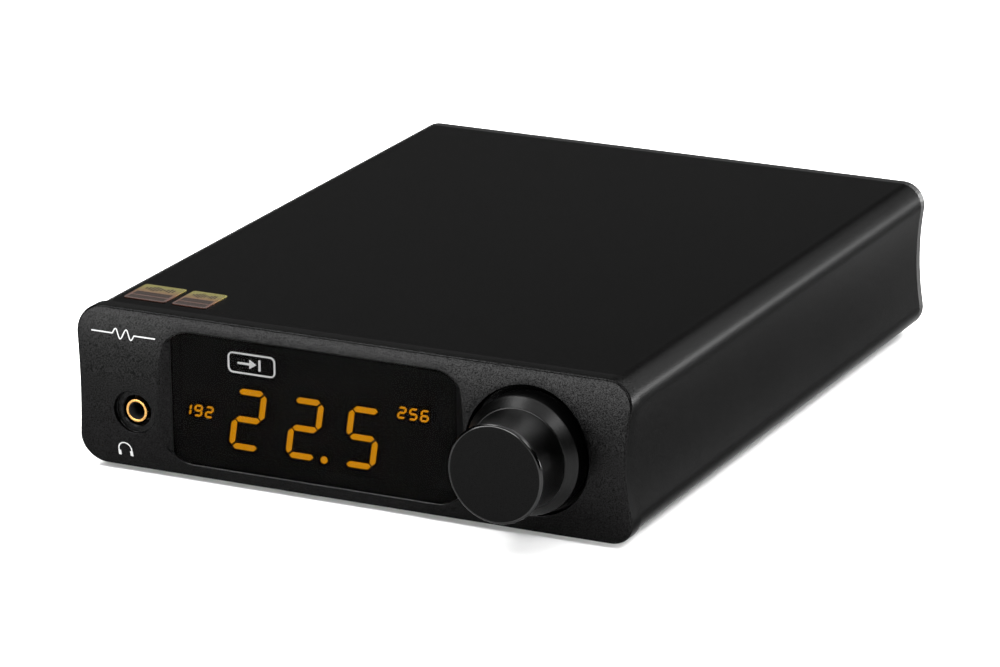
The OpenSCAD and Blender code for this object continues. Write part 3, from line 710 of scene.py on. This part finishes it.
def panel_tabs():
    """The four tabs behind the panel that reach into the sleeve, as (x0, x1, z0, z1, depth)."""
    floor_z, roof_z = sleeve_low.z + WALL + TAB_GAP, sleeve_high.z - WALL - TAB_GAP
    half_w = 6
    low_x, low_h, low_deep = 33, 2.55, 9
    high_x, high_h, high_deep = 44, 1.55, 6
    tabs = []
    for side in (-1, 1):
        x = side * low_x
        tabs.append((x - half_w, x + half_w, floor_z, floor_z + low_h, low_deep))
        x = side * high_x
        tabs.append((x - half_w, x + half_w, roof_z - high_h, roof_z, high_deep))
    return tabs


def panel_rim(shell):
    """The panel's rounded front edge and its sides; returns the front and the back ring."""
    edge_r, edge_steps, back_bevel = 0.45, 5, 0.15
    rings = []
    for i in range(edge_steps + 1):
        a = math.radians(90 * i / edge_steps)
        inset, depth = edge_r * (1 - math.sin(a)), edge_r * (1 - math.cos(a))
        rings.append(shell.ring([(x, FACE + barrel(z) + depth, z) for x, z in casing_outline(inset)]))
    rings.append(shell.ring([(x, PANEL_BACK - back_bevel, z) for x, z in casing_outline(0)]))
    rings.append(shell.ring([(x, PANEL_BACK, z) for x, z in casing_outline(back_bevel)]))
    shell.bridge(*rings)
    return rings[0], rings[-1]


def knob_well(shell):
    """The well round the knob, with a rounded foot and the bushing's hole."""
    lip_r, foot_r = 0.22, 0.25
    # Where the middle of the foot's curve lies, from both of its walls
    fall = 0.28 * foot_r
    profile = [(WELL_R, WELL_DEEP - foot_r), (WELL_R - fall, WELL_DEEP - fall),
               (WELL_R - foot_r, WELL_DEEP), (BUSHING_HOLE_R, WELL_DEEP),
               (BUSHING_HOLE_R, PANEL_BACK - FACE)]
    return round_well(shell, KNOB_X, KNOB_Z, WELL_R, lip_r, profile, 128)


def phone_well(shell):
    """The countersunk face round the headphone socket, and the hole for its ring."""
    lip_r, foot, chamfer = 0.14, 0.1, 0.22
    profile = [(PHONE_WELL_R, PHONE_WELL_DEEP - foot), (PHONE_WELL_R - foot, PHONE_WELL_DEEP),
               (PHONE_HOLE_R + chamfer, PHONE_WELL_DEEP), (PHONE_HOLE_R, PHONE_WELL_DEEP + chamfer),
               (PHONE_HOLE_R, PANEL_BACK - FACE)]
    return round_well(shell, PHONE_X, PHONE_Z, PHONE_WELL_R, lip_r, profile, 72)


def screen_opening(shell, pocket):
    """The opening behind the window, through to the back; returns its back ring."""
    ledge_x, ledge_z = 1.6, 2.5
    screen = rectangle(WINDOW_LEFT + ledge_x, WINDOW_RIGHT - ledge_x,
                       RECESS_LOW + ledge_z, RECESS_HIGH - ledge_z)
    front = shell.ring([(x, SCREEN_Y, z) for x, z in screen])
    back = shell.ring([(x, PANEL_BACK, z) for x, z in screen])
    shell.bridge(front, back)
    shell.fill(pocket, [front])
    return back


def panel_feet(shell):
    """The tabs behind the panel; returns the rings where they meet it."""
    feet = []
    for x0, x1, z0, z1, depth in panel_tabs():
        outline = rectangle(x0, x1, z0, z1)
        foot = shell.ring([(x, PANEL_BACK, z) for x, z in outline])
        tip = shell.ring([(x, PANEL_BACK + depth, z) for x, z in outline])
        shell.bridge(foot, tip)
        shell.cap(tip)
        feet.append(foot)
    return feet


def is_side_wall(normal, middle):
    """Whether a face of the panel is part of its hollow side walls."""
    level, margin = 0.1, 0.1
    return abs(normal.y) < level and abs(middle.x) > PANEL_W / 2 - WAIST - margin


def is_painted_highlight_lip(normal, middle):
    """Whether a face of the panel is part of the lower lip of the recess, which slopes up and gets a
    painted highlight.
    """
    lip_h, lip_deep = 0.4, 0.3
    slopes_up = 0.4 < normal.z < 0.93
    near_edge = abs(middle.z - RECESS_LOW) < lip_h
    return slopes_up and near_edge and middle.y < FACE + barrel(middle.z) + lip_deep


def make_front_panel(mats):
    """The barrel-faced front panel with its recess, knob well and headphone well."""
    shell = Shell()
    face_grid = (2.4, 1.2)
    front_edge, back_edge = panel_rim(shell)
    recess_mouth, pocket = recess_rings(shell)
    well_mouth, shaft_hole = knob_well(shell)
    phone_mouth, phone_hole = phone_well(shell)
    shell.fill(front_edge, [recess_mouth, well_mouth, phone_mouth], face_grid, lambda z: FACE + barrel(z))
    screen_back = screen_opening(shell, pocket)
    feet = panel_feet(shell)
    shell.fill(back_edge, [screen_back, shaft_hole, phone_hole, *feet])
    piece = shell.build("front_plate", [mats["panel"], mats["sleeve"], mats["painted_highlight_edge"]])
    accent(piece, 1, is_side_wall)
    # The upward-sloping lower lip of the recess gets the lighter finish: a painted highlight along its
    # edge.
    accent(piece, 2, is_painted_highlight_lip)
    return place(piece, "chassis", "anodised_panel", "front_panel")


def make_sleeve(mats):
    """The extruded sleeve, open at both ends."""
    shell = Shell()
    sizes = (SLEEVE_W, SLEEVE_H, CORNER_R - STEP)
    bevel = 0.12
    places = [(0, PANEL_BACK), (0, REAR_IN - bevel), (bevel, REAR_IN), (WALL, REAR_IN), (WALL, PANEL_BACK)]
    rings = []
    for inset, y in places:
        rings.append(shell.ring([(x, y, z) for x, z in casing_outline(inset, *sizes, steps=20)]))
    shell.bridge(*rings, rings[0])
    piece = shell.build("sleeve_shell", mats["sleeve"])
    return place(piece, "chassis", "anodised_sleeve", "sleeve")


# Knob --------------------------------------------------------------------------------------------

# Radius of the grip and of its rim, and how far in front of the crown the grip starts
GRIP_R = 9.85
RIM_R = 0.55
GRIP_LOW = 3.75


def knob_back(skirt_r, behind):
    """The knob behind its grip, as (radius, distance behind the panel's crown)."""
    bore_r, bore_deep, boss_r, cup_r = 3.03, 10, 3.9, 8.2
    boss_front, cup_front, skirt_front = 2.3, -0.4, -1.9
    shoulder = (GRIP_R + 0.22, -GRIP_LOW + 0.06)
    corners = [(0, -bore_deep), (bore_r, -bore_deep), (bore_r, boss_front), (boss_r, boss_front),
               (boss_r, cup_front), (cup_r, cup_front), (cup_r, behind), (skirt_r, behind),
               (skirt_r, skirt_front), shoulder, (GRIP_R, -GRIP_LOW)]
    return rounded(corners, [0, 0, 0.2, 0.2, 0.3, 0.3, 0.25, 0.3, 0.2, 0.08, 0])


def knob_front(out):
    """The waisted grip, the rounded rim and the flat face, in the same terms."""
    hollow, grip_steps, rim_steps = 0.35, 24, 8
    grip_high = out - RIM_R
    profile = []
    for i in range(1, grip_steps + 1):
        t = i / grip_steps
        profile.append((GRIP_R - hollow * (1 - (2 * t - 1) ** 2), -GRIP_LOW - (grip_high - GRIP_LOW) * t))
    for i in range(1, rim_steps + 1):
        a = math.radians(90 * i / rim_steps)
        profile.append((GRIP_R - RIM_R + RIM_R * math.cos(a), -grip_high - RIM_R * math.sin(a)))
    return profile + [(r, -out) for r in (8.2, 6.6, 5, 3.4, 1.8, 0)]


def make_knob(mats):
    """The volume knob: a skirt with a sloping shoulder, a waisted grip and a rounded rim."""
    shell = Shell()
    profile = knob_back((knob_high.x - knob_low.x) / 2, knob_high.y - FACE) + knob_front(FACE - knob_low.y)
    lathe(shell, KNOB_X, KNOB_Z, [(r, FACE + y) for r, y in profile], 128)
    piece = shell.build("volume_grip", [mats["knob"], mats["knob_face"], mats["knob_rim"]], 30)
    face_skin = 0.001
    accent(piece, 2, lambda normal, middle: middle.y < knob_low.y + RIM_R)
    accent(piece, 1, lambda normal, middle: middle.y < knob_low.y + face_skin)
    return place(piece, "volume_control", "anodised_knob", "volume_knob")


# Display and headphone socket ---------------------------------------------------------------------

def make_window(mats):
    """The window plate, with a fine bevel round its front edge."""
    shell = Shell()
    bevel, merge = 0.08, 1e-4
    rings = []
    for grow, y in ((-bevel, WINDOW_Y), (0, WINDOW_Y + bevel), (0, window_high.y)):
        points = []
        for x, z, _ in recess_outline(0):
            inner_x = min(max(x, window_low.x - grow), window_high.x + grow)
            points.append((inner_x, y, min(max(z, window_low.z - grow), window_high.z + grow)))
        rings.append(shell.ring(points))
    shell.bridge(*rings)
    bmesh.ops.remove_doubles(shell.mesh, verts=shell.mesh.verts, dist=merge)
    for y in (WINDOW_Y, window_high.y):
        open_edges = [e for e in shell.mesh.edges if e.is_boundary]
        loop = [e for e in open_edges if all(abs(v.co.y - y) < SAME_POINT for v in e.verts)]
        bmesh.ops.edgeloop_fill(shell.mesh, edges=loop)
    piece = shell.build("window_plate", mats["window"])
    return place(piece, "chassis", "smoked_window", "display_window")


def make_phone_ring(mats):
    """The gold collar of the headphone socket, with a round lip; its bore past the lip is black, painted
    shade down the hole in the colour of the socket's plastic.
    """
    shell = Shell()
    outer_r = (ring_high.x - ring_low.x) / 2
    lip_r, edge_r, lip_deep, slack = 0.22, 0.28, 0.1, 0.02
    front, back = ring_low.y, ring_high.y
    profile = [(PHONE_BORE_R, back), (PHONE_BORE_R, front), (outer_r, front), (outer_r, back),
               (PHONE_BORE_R, back)]
    lathe(shell, PHONE_X, PHONE_Z, rounded(profile, [0, lip_r, edge_r, 0, 0], 5), 72)
    piece = shell.build("phone_collar", [mats["gold"], mats["black"]])

    def in_shaded_bore(normal, middle):
        radius = math.hypot(middle.x - PHONE_X, middle.z - PHONE_Z)
        return radius < PHONE_BORE_R + slack and middle.y > front + lip_deep

    # The bore past the lip gets black plastic: painted shade down the hole.
    accent(piece, 1, in_shaded_bore)
    return place(piece, "chassis", "gold_plate", "phone_ring")


# Marks -------------------------------------------------------------------------------------------

def ribbon(shell, path, width, height):
    """A flat printed line along a path in X and Z, lying on the front face."""
    sunk = 0.02
    sides = ([], [])
    for i, (x, z) in enumerate(path):
        before, after = path[max(i - 1, 0)], path[min(i + 1, len(path) - 1)]
        dx, dz = after[0] - before[0], after[1] - before[1]
        size = math.hypot(dx, dz)
        nx, nz = -dz / size * width / 2, dx / size * width / 2
        for side, sign in zip(sides, (1, -1)):
            side.append((x + sign * nx, z + sign * nz))
    top = [shell.ring([(x, FACE + barrel(z) - height, z) for x, z in side]) for side in sides]
    low = [shell.ring([(x, FACE + barrel(z) + sunk, z) for x, z in side]) for side in sides]
    loop = [top[0], top[1], low[1], low[0]]
    for i in range(len(path) - 1):
        for a, b in zip(loop, loop[1:] + loop[:1]):
            shell.mesh.faces.new((a[i], a[i + 1], b[i + 1], b[i]))
    for i in (0, -1):
        shell.mesh.faces.new([line[i] for line in loop])


def wave_mark(shell, line, height):
    """A level line whose middle third is two waves."""
    left, right, z, swing, waves, steps = -56.6, -42.2, 28.75, 0.95, 2, 72
    third = (right - left) / 3
    path = []
    for i in range(steps + 1):
        x = left + (right - left) * i / steps
        waving = left + third < x < left + 2 * third
        path.append((x, z + (swing * math.sin((x - left - third) / third * waves * TAU) if waving else 0)))
    ribbon(shell, path, line, height)


def headphone_mark(shell, line, height):
    """A headphone's band with a cup at each end."""
    x, z, band_r, band_drop = -50, 4.9, 1.45, 0.5
    cup_in, cup_w, cup_low, cup_high = 0.12, 0.62, 1.35, 0.3
    band = arc(x, z, band_r, 180, 0, 20)
    ribbon(shell, [(x - band_r, z - band_drop)] + band + [(x + band_r, z - band_drop)], line, height)
    for side in (-1, 1):
        cup_x = x + side * (band_r - cup_in)
        ribbon(shell, [(cup_x, z - cup_low), (cup_x, z - cup_high)], cup_w, height)


def make_front_marks(mats):
    """Two plain white marks: a wave on a line at the top, and headphones under the socket."""
    shell = Shell()
    line, height = 0.25, 0.01
    wave_mark(shell, line, height)
    headphone_mark(shell, line, height)
    piece = shell.build("front_marks", mats["white_ink"], 60)
    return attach(piece, "chassis")


def make_top_labels(mats):
    """Two foil labels with round corners, each printed with a plain mark."""
    low, high = box("top_labels")
    widths = (9.4, 7.7)
    lefts = (low.x, high.x - widths[1])
    corner_r, bevel = 0.5, 0.03
    foil_shell, print_shell = Shell(), Shell()
    for left, width in zip(lefts, widths):
        rings = []
        for inset, z in ((0, low.z), (0, high.z - bevel), (bevel, high.z)):
            outline = rectangle(left + inset, left + width - inset, low.y + inset, high.y - inset,
                                corner_r, 5)
            rings.append(foil_shell.ring([(x, y, z) for x, y in outline]))
        foil_shell.bridge(*rings)
        foil_shell.cap(rings[0])
        foil_shell.cap(rings[-1])
        print_label(print_shell, left, width, low.y, high.y, high.z)
    place(foil_shell.build("foil_labels", mats["foil"]), "chassis", "foil_label", "top_labels")
    place(print_shell.build("label_print", mats["foil_ink"]), "chassis", "foil_label")


def print_label(shell, left, width, front, back, z):
    """Two dark strips and a row of strokes behind them, lying on the foil, like a printed sound wave."""
    depth = back - front
    ink_t = 0.012
    margin, strips = 0.07, ((0.07, 0.24), (0.29, 0.5))
    for low, high in strips:
        block(shell, (left + margin * width, front + low * depth, z),
              (left + (1 - margin) * width, front + high * depth, z + ink_t))
    first, pitch, stroke = 0.14, 0.072, 0.04
    row, half_h = 0.74, 0.15
    for i, size in enumerate((0.3, 0.55, 0.8, 1, 0.8, 0.55, 0.3, 0.55, 0.8, 0.55)):
        x = left + width * (first + pitch * i)
        middle, half = front + row * depth, half_h * depth * size
        block(shell, (x, middle - half, z), (x + stroke * width, middle + half, z + ink_t))


# CAD nodes that keep their shape ------------------------------------------------------------------

KEPT = {
    "rear": ["rear_panel"],
    "screw": ["rear_screws", "underside_screws", "knob_set_screw", "socket_screws"],
    "rubber": ["foot_front_left", "foot_front_right", "foot_rear_left", "foot_rear_right"],
    "housing": ["display_module"],
    "amber": ["display_digits", "display_legends"],
    "white": ["display_badge"],
    "infrared": ["infrared_receiver"],
    "board": ["front_board", "main_board"],
    "black": ["board_header", "encoder_body", "encoder_switch", "phone_body", "coax_insulator",
              "phono_housings", "optical_socket", "optical_shutter", "aerial_lead", "dc_socket"],
    "zinc": ["encoder_bushing", "encoder_shaft", "wireless_module"],
    "steel": ["encoder_washer", "encoder_nut", "usb_shell", "dc_pin", "oscillators"],
    "pale": ["encoder_rotor", "line_left_insulator", "usb_insulator", "output_relays"],
    "red": ["line_right_insulator", "film_capacitors"],
    "gold": ["phone_contacts", "line_left_barrel", "line_right_barrel", "coax_barrel", "phono_contacts",
             "usb_contacts", "aerial_socket", "aerial_nut", "aerial_contact"],
    "chip": ["converter_chips", "amplifier_chips", "voltage_regulators"],
    "capacitor": ["electrolytic_capacitors"],
    "ferrite": ["power_inductors"],
}


def dress_kept_nodes(mats):
    """Gives each CAD part that keeps its shape its finish."""
    for key, nodes in KEPT.items():
        for node in nodes:
            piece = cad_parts[node]
            piece.data.materials.clear()
            piece.data.materials.append(mats[key])


make_camera()
make_floor()
make_lighting()
mats = make_materials()
dress_kept_nodes(mats)
make_front_panel(mats)
make_sleeve(mats)
make_knob(mats)
make_window(mats)
make_phone_ring(mats)
make_front_marks(mats)
make_top_labels(mats)
